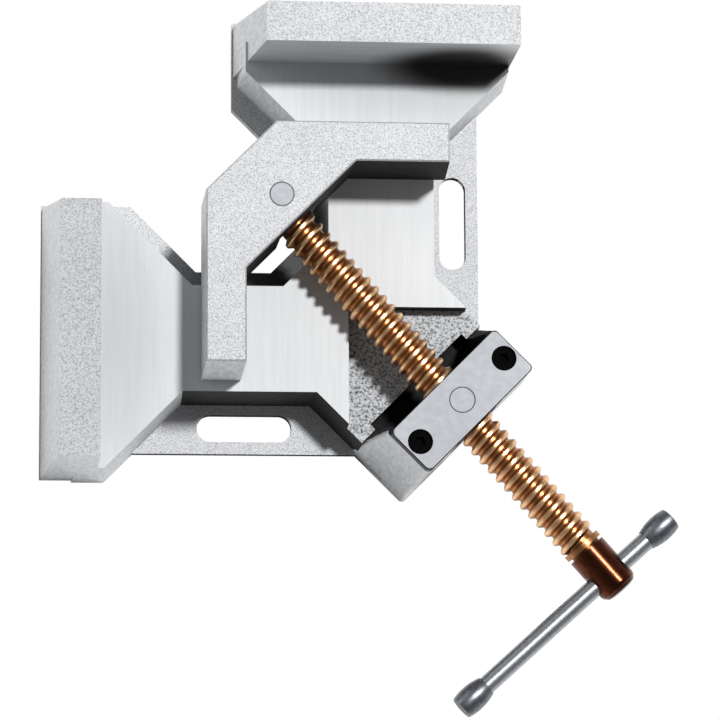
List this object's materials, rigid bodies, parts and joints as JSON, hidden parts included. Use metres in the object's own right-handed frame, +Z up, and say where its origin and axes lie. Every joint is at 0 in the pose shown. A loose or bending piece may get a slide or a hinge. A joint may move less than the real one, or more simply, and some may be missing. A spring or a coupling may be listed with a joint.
{
  "type": "corner clamp",
  "caption": "Metalworking corner clamp: right-angled cast body with fixed jaws, a swivelling L-shaped pressure jaw, screw spindle and sliding tommy bar.",
  "frame": {"origin": "on the swivel nut's axis, in the flat underside's plane", "axes": "+X along the top fixed jaw, away from the corner; +Y along the left fixed jaw, towards the corner; +Z up from the bench"},
  "size_m": [0.2494, 0.284, 0.069],
  "materials": {
    "casting": "galvanised cast surface, ground on the floor and faces",
    "plate_steel": "machined",
    "black_steel": "black oxide",
    "copper_plate": "copper-plated rolled thread",
    "bar_steel": "zinc-plated"
  },
  "bodies": {
    "base": {"body_casting": "casting", "bridge_plate": "plate_steel", "bridge_screw_left": "black_steel", "bridge_screw_right": "black_steel"},
    "nut": {"swivel_nut": "black_steel"},
    "pivot": {"jaw_pivot": "plate_steel", "keeper_pin_left": "plate_steel", "keeper_pin_right": "plate_steel"},
    "screw": {"spindle": "copper_plate"},
    "jaw": {"pressure_jaw": "casting", "pivot_clip": "black_steel"},
    "bar": {"tommy_bar": "bar_steel", "bar_knob_left": "bar_steel", "bar_knob_right": "bar_steel"}
  },
  "joints": [
    {"name": "nut_swivel", "type": "hinge", "parent": "base", "child": "nut", "pos_m": [0, 0, 0.04], "axis": [0, 0, 1], "range_deg": [-1.7, 8.3]},
    {"name": "feed", "type": "slide", "parent": "nut", "child": "pivot", "axis": [0.6652, -0.7466, 0], "range_m": [-0.035, 0.07]},
    {"name": "spindle_spin", "type": "hinge", "parent": "pivot", "child": "screw", "pos_m": [0, 0, 0.0455], "axis": [0.6652, -0.7466, 0], "range_deg": [-2700, 5400]},
    {"name": "jaw_square", "type": "hinge", "parent": "pivot", "child": "jaw", "pos_m": [-0.07038, 0.07899, 0.045], "axis": [0, 0, 1], "range_deg": [-8.4, 1.8]},
    {"name": "bar_slide", "type": "slide", "parent": "screw", "child": "bar", "axis": [0.7466, 0.6652, 0], "range_m": [-0.0118, 0.0565]}
  ],
  "couplings": [
    {"joint": "spindle_spin", "follows": "feed", "rad_per_m": 1322.8},
    {"joint": "jaw_square", "follows": "nut_swivel", "ratio": -1}
  ]
}
